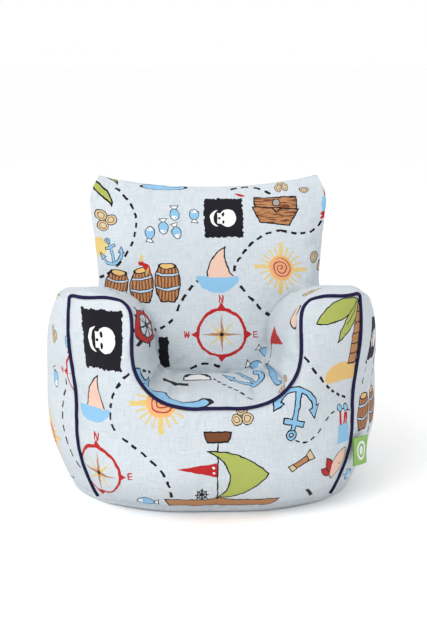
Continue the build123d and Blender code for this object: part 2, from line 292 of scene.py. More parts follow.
def place_headrest_rear(pt):
    for i in range(8):
        pt["R", i, 0] = pt["V", i, 5]
        pt["R", i, 5] = pt["S", 12 - i, 4]
    for j in range(1, 5):
        pt["R", 7, j] = SIDE_SEAM[5 - j]
        edge = SIDE_SEAM[5 - j]
        for i in range(7):
            top_x, foot_x = pt["R", i, 0].x, pt["R", i, 5].x
            x = mix(top_x, foot_x, j / 5)
            rear = (158, 178, 192, 201)[j - 1]
            round_off = max(0.0, 1 - (x / edge.x) ** 2.6) ** 0.55
            z = mix(pt["R", i, 0].z, REAR_FOOT, j / 5)
            pt["R", i, j] = Vector((x, mix(edge.y + 10, rear, round_off), z))


def place_base(pt):
    outline = [pt["F", k, 4] for k in range(5)] + [pt["S", c, 0] for c in range(1, 13)]
    for n, p in enumerate(outline):
        pt["D", n, 0] = p
        pt["D", n, 1] = Vector((p.x * 0.93, p.y * 0.93, 0.5))
        pt["D", n, 2] = Vector((p.x * 0.55, p.y * 0.55, 0))
    pt["D", 0, 3] = Vector((0, 0, 0))


def build_points():
    """Every point by patch letter, column and row."""
    pt = {}
    for place in (place_front, place_side, place_seat_band, place_inside_back,
                  place_headrest_rear, place_base):
        place(pt)
    return pt


def walk(points):
    """Length of the path through points."""
    return sum((b - a).length for a, b in zip(points, points[1:]))


def build_flat(pt):
    """Where each patch corner lies on its own flat cloth, in millimetres."""
    flat = {}
    for key, p in pt.items():
        letter, i, j = key
        if letter == "F":
            wide, _, front, _ = plan(p.z)
            past = p.x - (wide - front)
            u = p.x if past <= 0 else wide - front + front * math.asin(min(1.0, past / front))
            under = max(0.0, 60 - p.z)          # the foot's curve is longer than it is high
            flat[key] = (u, p.z - under * 0.2)
        elif letter == "B":
            flat[key] = (walk([pt["B", n, j] for n in range(i + 1)]), p.y)
        elif letter == "L":
            flat[key] = (p.x, (p.z - SEAT) * BACK_STRETCH)
        elif letter == "V":
            rise = walk([pt["V", i, n] for n in range(j + 1)])
            flat[key] = (p.x, (pt["V", i, 0].z - SEAT) * BACK_STRETCH + rise)
        elif letter == "R":
            flat[key] = (-walk([pt["R", n, j] for n in range(i + 1)]), p.z)
        elif letter == "S":
            run = walk([pt["S", n, 2] for n in range(i + 1)])
            rise = walk([pt["S", i, n] for n in range(j + 1)])
            flat[key] = (SIDE_START + run, HEM + rise)
        else:
            flat[key] = (p.x, p.y)
    return flat


PANELS = ("front_panel", "seat_band", "inside_back_panel", "headrest_rear_panel",
          "side_panel_right", "side_panel_left", "base_panel")
PATCHES = (  # letter, faces across, faces up, panel on the right half
    ("F", 8, 4, "front_panel"), ("B", 12, 4, "seat_band"), ("L", 3, 4, "inside_back_panel"),
    ("V", 7, 5, "inside_back_panel"), ("R", 7, 5, "headrest_rear_panel"),
    ("S", 12, 4, "side_panel_right"), ("D", 16, 2, "base_panel"),
)


def linked(name, data):
    obj = bpy.data.objects.new(name, data)
    bpy.context.scene.collection.objects.link(obj)
    return obj


def sewn_mesh(name, points, faces, corners):
    """A mesh whose face corners know their places on the flat cloth, in metres."""
    mesh = bpy.data.meshes.new(name)
    mesh.from_pydata(points, [], faces)
    layer = mesh.uv_layers.new(name="cloth")
    for face, places in zip(mesh.polygons, corners):
        for loop, place in zip(face.loop_indices, places):
            layer.data[loop].uv = place
    return mesh


def crease_of(kinds):
    """How sharp the seam between two panels is."""
    if "base_panel" in kinds:
        return 0.1
    if "front_panel" in kinds:
        return 0.35
    if kinds == {"side_panel_left", "side_panel_right"}:
        return 0.0
    return 0.5 if kinds == {"inside_back_panel", "seat_band"} else 0.3


def build_cage():
    pt = build_points()
    index, coords = {}, []

    def vertex(key, side):
        p = pt[key]
        place = (round(p.x * side, 3) + 0.0, round(p.y, 3), round(p.z, 3))
        if abs(place[0]) < 0.01:
            place = (0.0, place[1], place[2])
        if place not in index:
            index[place] = len(coords)
            coords.append(Vector(place))
        return index[place]

    faces, owner, cloth = [], [], []
    flat = build_flat(pt)

    def add_face(side, panel, *keys):
        faces.append([vertex(k, side) for k in keys])
        cloth.append([(flat[k][0] * side * MM, flat[k][1] * MM) for k in keys])
        owner.append(PANELS.index(panel if side > 0 else panel.replace("right", "left")))

    for letter, cols, rows, panel in PATCHES:
        for side in (1, -1):
            for i in range(cols):
                for j in range(rows):
                    add_face(side, panel, (letter, i, j), (letter, i + 1, j),
                             (letter, i + 1, j + 1), (letter, i, j + 1))
    for side in (1, -1):
        for n in range(16):
            add_face(side, "base_panel", ("D", n, 2), ("D", n + 1, 2), ("D", 0, 3))
    mesh = sewn_mesh("cage", [tuple(c * MM for c in p) for p in coords], faces, cloth)
    for name in PANELS:
        mesh.materials.append(bpy.data.materials.get(name) or bpy.data.materials.new(name))
    for face, which in zip(mesh.polygons, owner):
        face.material_index = which
    bm = bmesh.new()
    bm.from_mesh(mesh)
    bmesh.ops.recalc_face_normals(bm, faces=bm.faces)
    if bm.calc_volume(signed=True) < 0:
        bmesh.ops.reverse_faces(bm, faces=bm.faces)
    crease = bm.edges.layers.float.new("crease_edge")
    for edge in bm.edges:
        kinds = {PANELS[f.material_index] for f in edge.link_faces}
        if len(kinds) == 2:
            edge[crease] = crease_of(kinds)
    bm.to_mesh(mesh)
    bm.free()
    return linked("cage", mesh)


def applied(obj):
    """Bake an object's modifiers into its mesh."""
    deps = bpy.context.evaluated_depsgraph_get()
    new = bpy.data.meshes.new_from_object(
        obj.evaluated_get(deps), preserve_all_data_layers=True, depsgraph=deps)
    obj.modifiers.clear()
    old = obj.data
    obj.data = new
    bpy.data.meshes.remove(old)


def subdivide(obj, levels):
    mod = obj.modifiers.new("smooth", "SUBSURF")
    mod.levels = levels
    mod.render_levels = levels
    return mod


def fit_cage(obj, rounds):
    """Move the cage's points until the smoothed surface passes through where they started."""
    want = [v.co.copy() for v in obj.data.vertices]
    mod = subdivide(obj, 3)
    for _ in range(rounds):
        deps = bpy.context.evaluated_depsgraph_get()
        smooth = obj.evaluated_get(deps).data
        for n, target in enumerate(want):
            obj.data.vertices[n].co += (target - smooth.vertices[n].co) * 0.8
        obj.data.update()
    obj.modifiers.remove(mod)


# ---- Stuffing: the cloth is a little larger than the shape, and the beads press it out ----
FRAMES = 20  # length of the simulation
LIFT_LIMIT = 0.011  # metres the pressure may move the cloth
SEAM_PIN = 0.85  # stitched edges give a little


def panel_pairs(mesh):
    """For each edge between two panels, the two panels' numbers."""
    owners = {}
    for face in mesh.polygons:
        for key in face.edge_keys:
            owners.setdefault(key, []).append(face.material_index)
    return {key: tuple(sorted(set(who))) for key, who in owners.items() if len(set(who)) > 1}


def inflate(obj):
    mesh = obj.data
    rest = [v.co.copy() for v in mesh.vertices]
    pins = {}
    for key in panel_pairs(mesh):
        for n in key:
            pins[n] = SEAM_PIN
    for v in mesh.vertices:
        if v.co.z < 0.004:
            pins[v.index] = 1.0
    group = obj.vertex_groups.new(name="pins")
    for n, weight in pins.items():
        group.add([n], weight, "REPLACE")
    mod = obj.modifiers.new("cloth", "CLOTH")
    cloth = mod.settings
    cloth.quality = 6
    cloth.mass = 0.25
    cloth.tension_stiffness = 25
    cloth.compression_stiffness = 25
    cloth.shear_stiffness = 10
    cloth.bending_stiffness = 1.5
    cloth.shrink_min = -0.012
    cloth.use_pressure = True
    cloth.uniform_pressure_force = 3.5
    cloth.vertex_group_mass = "pins"
    cloth.effector_weights.gravity = 0
    mod.collision_settings.use_collision = False
    mod.point_cache.frame_start = 1
    mod.point_cache.frame_end = FRAMES
    for n in range(1, FRAMES + 1):
        bpy.context.scene.frame_set(n)
    applied(obj)
    bpy.context.scene.frame_set(1)
    for v, start in zip(obj.data.vertices, rest):
        move = v.co - start
        if move.length > LIFT_LIMIT:
            v.co = start + move * (LIFT_LIMIT / move.length)
        if v.co.z < 0:
            v.co.z = 0


cage = build_cage()
fit_cage(cage, 4)
subdivide(cage, 3)
applied(cage)
inflate(cage)
subdivide(cage, 1)
applied(cage)
skin = cage.data


# ---- Seams ----
def piped_chain(mesh):
    """Vertices of the piped seam in order, from the foot of one side to the foot of the other."""
    front, base = PANELS.index("front_panel"), PANELS.index("base_panel")
    links = {}
    for key, who in panel_pairs(mesh).items():
        if front in who and base not in who:
            for a, b in (key, key[::-1]):
                links.setdefault(a, []).append(b)
    ends = [n for n, others in links.items() if len(others) == 1]
    here = max(ends, key=lambda n: mesh.vertices[n].co.x)
    chain, last = [here], None
    while True:
        ahead = [n for n in links[here] if n != last]
        if not ahead:
            return chain
        last, here = here, ahead[0]
        chain.append(here)


def tube(name, points, radius, sides, wobble=0.0):
    """A round tube through points, with its length along U in metres and once round V."""
    rings, up = [], Vector((0, 0, 1))
    for n, p in enumerate(points):
        ahead = points[min(n + 1, len(points) - 1)] - points[max(n - 1, 0)]
        ahead.normalize()
        if n == 0:
            up = ahead.orthogonal().normalized()
        up = (up - ahead * up.dot(ahead)).normalized()
        across = ahead.cross(up)
        r = radius * (1 + wobble * (math.sin(n * 0.83) + math.sin(n * 0.31 + 1)))
        rings.append([p + (up * math.cos(t) + across * math.sin(t)) * r
                      for t in (2 * math.pi * s / sides for s in range(sides))])
    verts = [tuple(p) for one in rings for p in one]
    faces, corners, run = [], [], 0.0
    for n in range(len(points) - 1):
        end = run + (points[n + 1] - points[n]).length
        for s in range(sides):
            t = (s + 1) % sides
            faces.append((n * sides + s, n * sides + t, (n + 1) * sides + t, (n + 1) * sides + s))
            low, high = s / sides, (s + 1) / sides
            corners.append(((run, low), (run, high), (end, high), (end, low)))
        run = end
    faces.append(tuple(range(sides - 1, -1, -1)))
    corners.append(((0, 0),) * sides)
    faces.append(tuple((len(points) - 1) * sides + s for s in range(sides)))
    corners.append(((run, 0),) * sides)
    mesh = sewn_mesh(name, verts, faces, corners)
    mesh.shade_smooth()
    return linked(name, mesh)


def smoothed(points, rounds):
    for _ in range(rounds):
        inner = [(a + b * 2 + c) / 4 for a, b, c in zip(points, points[1:], points[2:])]
        points = [points[0], *inner, points[-1]]
    return points


chain = piped_chain(skin)
normals = [v.normal.copy() for v in skin.vertices]
PIPING_RADIUS, FILLER_RADIUS, PROUD = 0.0027, 0.0018, 0.0012
seam_line = smoothed([skin.vertices[n].co + normals[n] * PROUD for n in chain], 2)
piping = tube("piping", seam_line, PIPING_RADIUS, 14, 0.02)
cord = tube("piping_filler", seam_line, FILLER_RADIUS, 8)
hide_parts("piping_cover")
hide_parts("piping_cord")

# the stitches pull every seam in, and the cloth rolls over on both sides of it
SEAM_DEPTH, PIPED_DEPTH = 0.0016, 0.001
piped = set(chain)
for n in {n for pair in panel_pairs(skin) for n in pair}:
    skin.vertices[n].co -= normals[n] * (PIPED_DEPTH if n in piped else SEAM_DEPTH)

# the back is drawn flat along the zip, and its edges turn in to the tapes
FLAT_HALF, FLAT_LOW, FLAT_HIGH, FLAT_Y = 0.06, 0.03, 0.28, 0.2216
SLOT_HALF, SLOT_LOW, SLOT_HIGH, SLOT_Y = 0.0066, 0.0612, 0.2488, 0.2172
for v in skin.vertices:
    across, up = abs(v.co.x), v.co.z
    if v.co.y < 0.19 or across > FLAT_HALF or not FLAT_LOW < up < FLAT_HIGH:
        continue
    ends = min(up - FLAT_LOW, FLAT_HIGH - up) / 0.025
    flat = min(1.0, (FLAT_HALF - across) / 0.035, ends)
    v.co.y = mix(v.co.y, min(v.co.y, FLAT_Y), flat)
    if across < SLOT_HALF and SLOT_LOW < up < SLOT_HIGH:
        v.co.y = min(v.co.y, SLOT_Y)


# ---- Panels ----
EAR_FROM = 0.428  # the ears' inside corners are too thin for the bags above this
EAR_NARROWER, EAR_LOWER = 2.6, 0.72


def split_panels(obj):
    pieces = {}
    for which, name in enumerate(PANELS):
        bm = bmesh.new()
        bm.from_mesh(obj.data)
        others = [f for f in bm.faces if f.material_index != which]
        bmesh.ops.delete(bm, geom=others, context="FACES")
        mesh = bpy.data.meshes.new(name)
        bm.to_mesh(mesh)
        bm.free()
        for face in mesh.polygons:
            face.material_index = 0
            face.use_smooth = True
        pieces[name] = linked(name + "_cloth", mesh)
    return pieces


def shrunk_copy(obj, name, depth):
    """The closed skin moved inwards, and further at the ears, for what lies inside the cover."""
    mesh = obj.data.copy()
    mesh.name = name
    for v, n in zip(mesh.vertices, normals):
        v.co = v.co - n * depth
        ear = max(0.0, v.co.z - EAR_FROM)
        v.co.x *= 1 - EAR_NARROWER * ear
        v.co.z = max(v.co.z - EAR_LOWER * ear, 0.002)
    return linked(name, mesh)


panels = split_panels(cage)
LINER_DEPTH, BEAD_DEPTH = 0.005, 0.007
liner = shrunk_copy(cage, "liner_bag", LINER_DEPTH)
beads = shrunk_copy(cage, "beads", BEAD_DEPTH)
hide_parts("inner_liner")
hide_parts("bead_fill")
bpy.data.objects.remove(cage)
for name, piece in panels.items():
    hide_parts(name)
for piece in [*panels.values(), piping, cord, liner, beads]:
    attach(piece, "chair")


# ---- Ribbon pieces: the label and the zip's tapes ----
def ribbon_mesh(name, rows, thickness):
    """A woven strip through a grid of points, its length along U and its width along V."""
    wide = len(rows[0])
    faces = [(r * wide + c, r * wide + c + 1, (r + 1) * wide + c + 1, (r + 1) * wide + c)
             for r in range(len(rows) - 1) for c in range(wide - 1)]
    place = []
    for r, row in enumerate(rows):
        run = walk([one[0] for one in rows[:r + 1]])
        place += [(run, (p - row[0]).length) for p in row]
    corners = [[place[n] for n in face] for face in faces]
    mesh = sewn_mesh(name, [p for row in rows for p in row], faces, corners)
    mesh.shade_smooth()
    obj = linked(name, mesh)
    body = obj.modifiers.new("thickness", "SOLIDIFY")
    body.thickness = thickness
    body.offset = 0
    edge = obj.modifiers.new("edge", "BEVEL")
    edge.width = thickness * 0.3
    edge.segments = 2
    applied(obj)
    return obj


def folded_label():
    """A ribbon doubled over, both ends in the seam, bowed a little as it lies along the side."""
    low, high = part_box("side_tag")
    gap = 0.0009                # from the label's middle to each of its two layers
    length = math.hypot(high.x - low.x, high.y - low.y) - 0.0012
    along_tag = Vector((high.x - low.x, high.y - low.y, 0)).normalized()
    outward = Vector((along_tag.y, -along_tag.x, 0))
    start = Vector((low.x, low.y, 0)) + outward * 0.0004
    path = [(t / 10 * length, gap) for t in range(11)]
    path += [(length + 0.0007, 0.0005), (length + gap, 0), (length + 0.0007, -0.0005)]
    path += [(t / 10 * length, -gap) for t in range(10, -1, -1)]
    rows = []
    for out, off in path:
        row = []
        for n in range(13):
            up = n / 12
            bow = 0.0022 * math.sin(out / length * 2.4) + 0.0008 * math.sin(up * 5 + out * 90)
            z = mix(low.z, high.z, up) - 0.0012 * (out / length) ** 2
            row.append(start + along_tag * out + outward * (off + bow) + Vector((0, 0, z)))
        rows.append(row)
    return ribbon_mesh("folded_label", rows, 0.0005)


def tape(name):
    low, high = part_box(name)
    middle = (low.y + high.y) / 2
    rows = []
    for n in range(63):
        z = mix(low.z, high.z, n / 62)
        ripple = 0.00012 * math.sin(n * 0.9)
        rows.append([Vector((mix(low.x, high.x, c / 4), middle + ripple, z)) for c in range(5)])
    return ribbon_mesh(name + "_woven", rows, 0.0008)


label = folded_label()
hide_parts("side_tag")
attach(label, "side_tag")
tapes = [tape("zip_tape_left"), tape("zip_tape_right")]
for strip, node in zip(tapes, ("zip_tape_left", "zip_tape_right")):
    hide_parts(node)
    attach(strip, "chair")


# ---- Print: shapes drawn on the flat cloth by shader nodes, in millimetres ----
INK = (0.010, 0.009, 0.014)
RED = (0.43, 0.020, 0.020)
DARK_RED = (0.36, 0.03, 0.012)
GREEN = (0.36, 0.41, 0.10)
SKY = (0.24, 0.47, 0.68)
PEACH = (0.74, 0.50, 0.40)
BROWN = (0.16, 0.055, 0.024)
TAN = (0.42, 0.20, 0.09)
SAND = (0.68, 0.45, 0.17)
SUNNY = (0.66, 0.50, 0.19)
ORANGE = (0.74, 0.40, 0.15)
CREAM = (0.58, 0.47, 0.29)
AMBER = (0.72, 0.36, 0.20)
STEEL = (0.45, 0.55, 0.66)
IRON = (0.35, 0.30, 0.28)
WHITE = (0.76, 0.76, 0.76)
PALE = (0.60, 0.63, 0.66)  # the cloth's ground, and its threads
HATCH = (0.44, 0.52, 0.57)
SATIN = (0.22, 0.42, 0.10)
LINE = 1.5  # width of a drawn line


def put(node, **values):
    """Set a node's constant inputs, with _ for a space in their names."""
    for name, value in values.items():
        node.inputs[name.replace("_", " ")].default_value = value


def new_material(name):
    material = bpy.data.materials.new(name)
    material.use_nodes = True
    return material, material.node_tree, material.node_tree.nodes["Principled BSDF"]


class Value:
    """A number that varies over the cloth. Arithmetic on it adds nodes."""

    def __init__(self, cloth, socket):
        self.cloth = cloth
        self.socket = socket

    def __add__(self, other):
        return self.cloth.math("ADD", self, other)

    def __sub__(self, other):
        return self.cloth.math("SUBTRACT", self, other)

    def __mul__(self, other):
        return self.cloth.math("MULTIPLY", self, other)

    def __neg__(self):
        return self.cloth.math("MULTIPLY", self, -1)

    def __abs__(self):
        return self.cloth.math("ABSOLUTE", self)

    def less(self, other):
        return self.cloth.math("LESS_THAN", self, other)

    def near(self, other, reach):
        return self.cloth.math("COMPARE", self, other, reach)


class Cloth:
    """One material. Shapes are painted over its ground one after another."""

    def __init__(self, name):
        self.material, tree, self.shader = new_material(name)
        self.nodes, self.links = tree.nodes, tree.links
        uv = self.add("UVMap", uv_map="cloth")
        self.flat = self.scaled(uv.outputs[0], 1 / MM)
        self.color = None

    def add(self, kind, **settings):
        node = self.nodes.new("ShaderNode" + kind)
        for key, value in settings.items():
            setattr(node, key, value)
        return node

    def feed(self, socket, value):
        if isinstance(value, Value):
            value = value.socket
        if isinstance(value, bpy.types.NodeSocket):
            self.links.new(value, socket)
        elif isinstance(value, tuple) and len(value) < len(socket.default_value):
            socket.default_value = (*value, 1)
        else:
            socket.default_value = value

    def operate(self, kind, operation, values):
        node = self.add(kind, operation=operation)
        for socket, value in zip(node.inputs, values):
            self.feed(socket, value)
        return node

    def math(self, operation, *values):
        return Value(self, self.operate("Math", operation, values).outputs[0])

    def clamped(self, value):
        return self.math("MINIMUM", self.math("MAXIMUM", value, 0.0), 1.0)

    def vector(self, operation, *values):
        node = self.operate("VectorMath", operation, values)
        number = operation in ("DISTANCE", "LENGTH", "DOT_PRODUCT")
        return Value(self, node.outputs["Value" if number else "Vector"])

    def scaled(self, value, factor):
        node = self.add("VectorMath", operation="SCALE")
        self.feed(node.inputs[0], value)
        self.feed(node.inputs["Scale"], factor)
        return Value(self, node.outputs[0])

    def noise(self, place, scale, detail, output=0):
        node = self.add("TexNoise", noise_dimensions="2D")
        self.feed(node.inputs["Vector"], place)
        put(node, Scale=scale, Detail=detail)
        return Value(self, node.outputs[output])

    def mix(self, mask, below, above):
        node = self.add("Mix", data_type="RGBA")
        self.feed(node.inputs[0], mask)
        self.feed(node.inputs[6], below)
        self.feed(node.inputs[7], above)
        return node.outputs[2]

    def paint(self, mask, color):
        self.color = self.mix(mask, self.color, color)

    def linen(self, pale, tint):
        """The cloth's own colour: a pale ground with fine uneven threads both ways."""
        weft, warp = (self.noise(self.vector("MULTIPLY", self.flat, stretch), 1.0, 3.0)
                      for stretch in ((0.05, 0.62, 1.0), (0.62, 0.05, 1.0)))
        threads = self.math("MAXIMUM", weft, warp)
        self.color = self.mix(self.clamped((threads - 0.42) * 2.6), pale, tint)
        self.ground = self.color

    def weave(self, strength, crumple=0.0):
        """Raised threads, half a millimetre apart, over the soft creases of handled cloth."""
        across, up = (self.math("SINE", part * 7.0) for part in self.split(self.flat))
        bump = self.add("Bump")
        put(bump, Strength=strength, Distance=0.0004)
        self.feed(bump.inputs["Height"], across * up)
        if crumple:
            soft = self.add("Bump")
            put(soft, Strength=crumple, Distance=0.006)
            self.feed(soft.inputs["Height"], self.noise(self.flat, 0.022, 2.5))
            self.links.new(soft.outputs[0], bump.inputs["Normal"])
        self.links.new(bump.outputs[0], self.shader.inputs["Normal"])

    def split(self, place):
        node = self.add("SeparateXYZ")
        self.feed(node.inputs[0], place)
        return Value(self, node.outputs[0]), Value(self, node.outputs[1])

    def start_print(self):
        """The lines waver a little, as drawn by hand."""
        waver = self.noise(self.flat, 0.09, 1.0, "Color")
        offset = self.vector("SUBTRACT", waver, (0.5, 0.5, 0.5))
        self.hand = self.vector("ADD", self.flat, self.scaled(offset, 3.2))
        self.rag = (self.noise(self.flat, 0.16, 1.0) - 0.5) * 5.5

    def finish(self, rough=0.85, sheen=0.04):
        self.feed(self.shader.inputs["Base Color"], self.color)
        put(self.shader, Roughness=rough, Specular_IOR_Level=0.12, Sheen_Weight=sheen,
            Sheen_Roughness=0.5)
        return self.material


def round_through(a, b, c):
    """Centre and radius of the circle through three points."""
    (ax, ay), (bx, by), (cx, cy) = a, b, c
    d = 2 * (ax * (by - cy) + bx * (cy - ay) + cx * (ay - by))
    if abs(d) < 1e-6:
        d = 1e-6
    a2, b2, c2 = ax * ax + ay * ay, bx * bx + by * by, cx * cx + cy * cy
    x = (a2 * (by - cy) + b2 * (cy - ay) + c2 * (ay - by)) / d
    y = (a2 * (cx - bx) + b2 * (ax - cx) + c2 * (bx - ax)) / d
    return x, y, math.hypot(ax - x, ay - y)


class Stamp:
    """A drawing's own axes on the cloth. Each shape is a distance, negative inside it."""

    def __init__(self, cloth, x, y, turn=0, size=1, tall=None):
        self.cloth, self.vector, self.math = cloth, cloth.vector, cloth.math
        node = cloth.add("Mapping", vector_type="TEXTURE")
        cloth.feed(node.inputs["Vector"], cloth.hand)
        put(node, Location=(x, y, 0), Rotation=(0, 0, math.radians(turn)),
            Scale=(size, tall or size, 1))
        self.place = Value(cloth, node.outputs[0])
        self.parts = None

    def xy(self):
        if not self.parts:
            self.parts = self.cloth.split(self.place)
        return self.parts

    def moved(self, x, y):
        return self.vector("SUBTRACT", self.place, (x, y, 0.0))

    def disc(self, x, y, r):
        return self.vector("DISTANCE", self.place, (x, y, 0.0)) - r

    def ring(self, x, y, r, half):
        return abs(self.disc(x, y, r)) - half

    def oval(self, x, y, a, b):
        unit = self.vector("MULTIPLY", self.moved(x, y), (1 / a, 1 / b, 0.0))
        return (self.vector("LENGTH", unit) - 1) * min(a, b)

    def half_plane(self, a, b):
        """Everything on the left of the line from a to b."""
        length = math.hypot(b[0] - a[0], b[1] - a[1])
        nx, ny = (b[1] - a[1]) / length, (a[0] - b[0]) / length
        across = self.vector("DOT_PRODUCT", self.place, (nx, ny, 0.0))
        return across - (nx * a[0] + ny * a[1])

    def both(self, *shapes):
        return functools.reduce(lambda a, b: self.math("MAXIMUM", a, b), shapes)

    def either(self, *shapes):
        return functools.reduce(lambda a, b: self.math("MINIMUM", a, b), shapes)

    def polygon(self, *corners):
        """A convex outline, its corners anticlockwise."""
        edges = zip(corners, corners[1:] + corners[:1])
        return self.both(*(self.half_plane(a, b) for a, b in edges))

    def box(self, x, y, half_x, half_y):
        away = self.vector("ABSOLUTE", self.moved(x, y))
        px, py = self.cloth.split(self.vector("SUBTRACT", away, (half_x, half_y, 0.0)))
        return self.math("MAXIMUM", px, py)

    def rhomb(self, half_x, half_y):
        away = self.vector("ABSOLUTE", self.place)
        slope = self.vector("DOT_PRODUCT", away, (1 / half_x, 1 / half_y, 0.0))
        return (slope - 1) * min(half_x, half_y)

    def bar(self, a, b, half):
        """A straight stroke with round ends."""
        run = (b[0] - a[0], b[1] - a[1], 0.0)
        square = run[0] ** 2 + run[1] ** 2
        moved = self.moved(*a)
        share = self.vector("DOT_PRODUCT", moved, tuple(v / square for v in run))
        nearest = self.cloth.scaled(run, self.cloth.clamped(share))
        return self.vector("DISTANCE", moved, nearest) - half

    def lens(self, a, b, out_a, out_b):
        """A leaf from a to b, bulging by out_a on its left and out_b on its right."""
        middle = ((a[0] + b[0]) / 2, (a[1] + b[1]) / 2)
        length = math.hypot(b[0] - a[0], b[1] - a[1])
        nx, ny = (a[1] - b[1]) / length, (b[0] - a[0]) / length
        sides = []
        for out, way in ((out_a, 1), (out_b, -1)):
            tip = (middle[0] + nx * out * way, middle[1] + ny * out * way)
            side = self.disc(*round_through(a, tip, b))
            sides.append(side if out > 0 else -side)
        return self.both(*sides)

    def draw(self, shape, fill=None, ink=None, line=LINE):
        if fill is not None:
            self.cloth.paint(shape.less(0.0), fill)
        if ink is not None:
            self.cloth.paint(shape.near(0.0, line / 2), ink)

    def strokes(self, color, half, *pairs):
        self.draw(self.either(*(self.bar(a, b, half) for a, b in pairs)), color)

    def rays(self, count, half, inner, outer):
        """Spokes between two radii, count of them evenly round."""
        x, y = self.xy()
        turn = self.math("ARCTAN2", y, x) * (count / (2 * math.pi))
        turn = self.math("FRACT", turn + 0.5)
        radius = self.vector("LENGTH", self.place)
        off = abs(turn - 0.5) * radius * (2 * math.pi / count)
        between = abs(radius - (inner + outer) / 2) - (outer - inner) / 2
        return self.both(off - half, between)


# ---- The drawings, each about its own middle ----
COMPASS_POINTS = (  # N, E and W: where each stands, and its strokes
    ((0, 54), (((-3, -5), (-3, 5)), ((-3, 5), (3, -5)), ((3, -5), (3, 5)))),
    ((56, 0), (((-3, -5), (-3, 5)), ((-3, 5), (3, 5)), ((-3, 0), (2, 0)), ((-3, -5), (3, -5)))),
    ((-57, 0), (((-4, 5), (-2, -5)), ((-2, -5), (0, 4)), ((0, 4), (2, -5)), ((2, -5), (4, 5)))),
)


def compass(s):
    cloth = s.cloth
    s.draw(s.either(s.rhomb(50, 34), s.rhomb(34, 50)), RED)
    s.draw(s.disc(0, 0, 38), cloth.ground)
    diagonal = cloth.add("Mapping", vector_type="TEXTURE")
    cloth.feed(diagonal.inputs["Vector"], s.place)
    put(diagonal, Rotation=(0, 0, math.pi / 4))
    turned = Value(cloth, diagonal.outputs[0])
    for place, long, wide, color in ((turned, 33, 2.6, SUNNY), (s.place, 35, 3.0, TAN)):
        arms = cloth.vector("ABSOLUTE", place)
        for a, b in ((long, wide), (wide, long)):
            slope = cloth.vector("DOT_PRODUCT", arms, (1 / a, 1 / b, 0.0))
            cloth.paint(slope.less(1.0), color)
    s.draw(s.ring(0, 0, 39, 2.4), RED)
    s.draw(s.disc(0, 0, 3.2), INK)
    for (ox, oy), strokes in COMPASS_POINTS:
        pairs = [((a[0] + ox, a[1] + oy), (b[0] + ox, b[1] + oy)) for a, b in strokes]
        s.strokes(RED, 1.1, *pairs)


def sun(s):
    s.draw(s.rays(20, 1.3, 18, 35), SUNNY)
    s.draw(s.rays(4, 3.4, 18, 42), SUNNY)
    s.draw(s.disc(0, 0, 20), ORANGE)
    s.draw(s.disc(0, 0, 15.5), AMBER)
    x, y = s.xy()
    radius = s.vector("LENGTH", s.place)
    turns = radius * (1 / 6.0) - s.math("ARCTAN2", y, x) * (1 / (2 * math.pi))
    line = (abs(s.math("FRACT", turns) - 0.5) * 6.0) - 0.85
    s.draw(s.both(line, radius - 16.5), DARK_RED)


def flag(s):
    s.draw(s.box(0, 0, 32, 31) + s.cloth.rag, INK)
    crescent = s.both(s.disc(-9, 0, 13), -s.disc(-1, 0, 15))
    skull = s.either(s.disc(7, 0, 14), s.box(-3, 0, 7, 8))
    s.draw(s.either(crescent, skull), WHITE)
    s.draw(s.either(s.oval(0, 6, 2.2, 3), s.oval(0, -6, 2.2, 3), s.oval(-7, 0, 2.4, 1.8)), INK)


def sail_boat(s):
    water = s.both(s.oval(0, 0, 34, 26), s.xy()[1] + 1)
    s.draw(water, SKY)
    left = s.disc(*round_through((-16, -4), (-9, 28), (12, 50)))
    right = s.disc(*round_through((12, 50), (13, 24), (24, -2)))
    s.draw(s.both(left, -right, -(s.xy()[1] + 3)), PEACH)
    outline = s.either(abs(left), abs(right)) - LINE * 0.75
    s.draw(s.both(outline, s.both(left, -right, -s.xy()[1]) - LINE), INK)


def fish(s):
    body = s.lens((0, -13), (0, 13), 9, 9)
    s.draw(s.polygon((0, 8), (7, 19), (-7, 19)), WHITE, INK)
    s.draw(body, SKY, INK)
    s.draw(s.both(body, s.disc(0, -13, 11)) + LINE, WHITE)
    s.draw(s.disc(2.5, -7, 1.1), INK)


def coin(s):
    s.draw(s.disc(0, 0, 9), CREAM, INK)
    s.draw(s.ring(0, 0, 5.5, 0.6), BROWN)
    s.strokes(BROWN, 0.8, ((0, -3), (1, 3)))


def coins(s):
    for x, y in ((-8, 9), (8, 1), (-6, -9)):
        s.draw(s.disc(x, y, 9), CREAM, INK)
        s.draw(s.ring(x, y, 5, 0.7), BROWN)


def barrel(s):
    x, y = s.xy()
    body = s.both(s.oval(0, 0, 19, 32), abs(y) - 27)
    s.draw(body, TAN)
    staves = s.math("FRACT", x * (1 / 5.2)).less(0.42)
    s.cloth.paint(staves * body.less(0.0), BROWN)
    bow = y - x * x * 0.012
    for height in (-10, 10):
        s.cloth.paint(bow.near(height, 2.6) * body.less(0.0), INK)
        s.cloth.paint(bow.near(height, 1.4) * body.less(0.0), STEEL)
    s.draw(body, None, INK, 1.8)
    s.draw(s.oval(0, 25, 12.5, 4.5), SAND, INK)


def anchor(s):
    arc = s.both(s.ring(0, -4, 27, 3.6), s.xy()[1] + 6)
    shank = s.box(0, -4, 3.4, 28)
    stock = s.box(0, 13, 15, 3.6)
    eye = s.ring(0, 31, 5.2, 2.3)
    left = s.polygon((-33, -15), (-18, -8), (-30, 3))
    right = s.polygon((33, -15), (30, 3), (18, -8))
    s.draw(s.either(arc, shank, stock, eye, left, right), SKY, INK, 1.8)


def wheel(s):
    s.draw(s.rays(8, 2.2, 17, 29), INK)
    s.draw(s.rays(8, 1.1, 2, 19), INK)
    s.draw(s.ring(0, 0, 19, 3.4), RED, INK)
    s.draw(s.disc(0, 0, 4), INK)


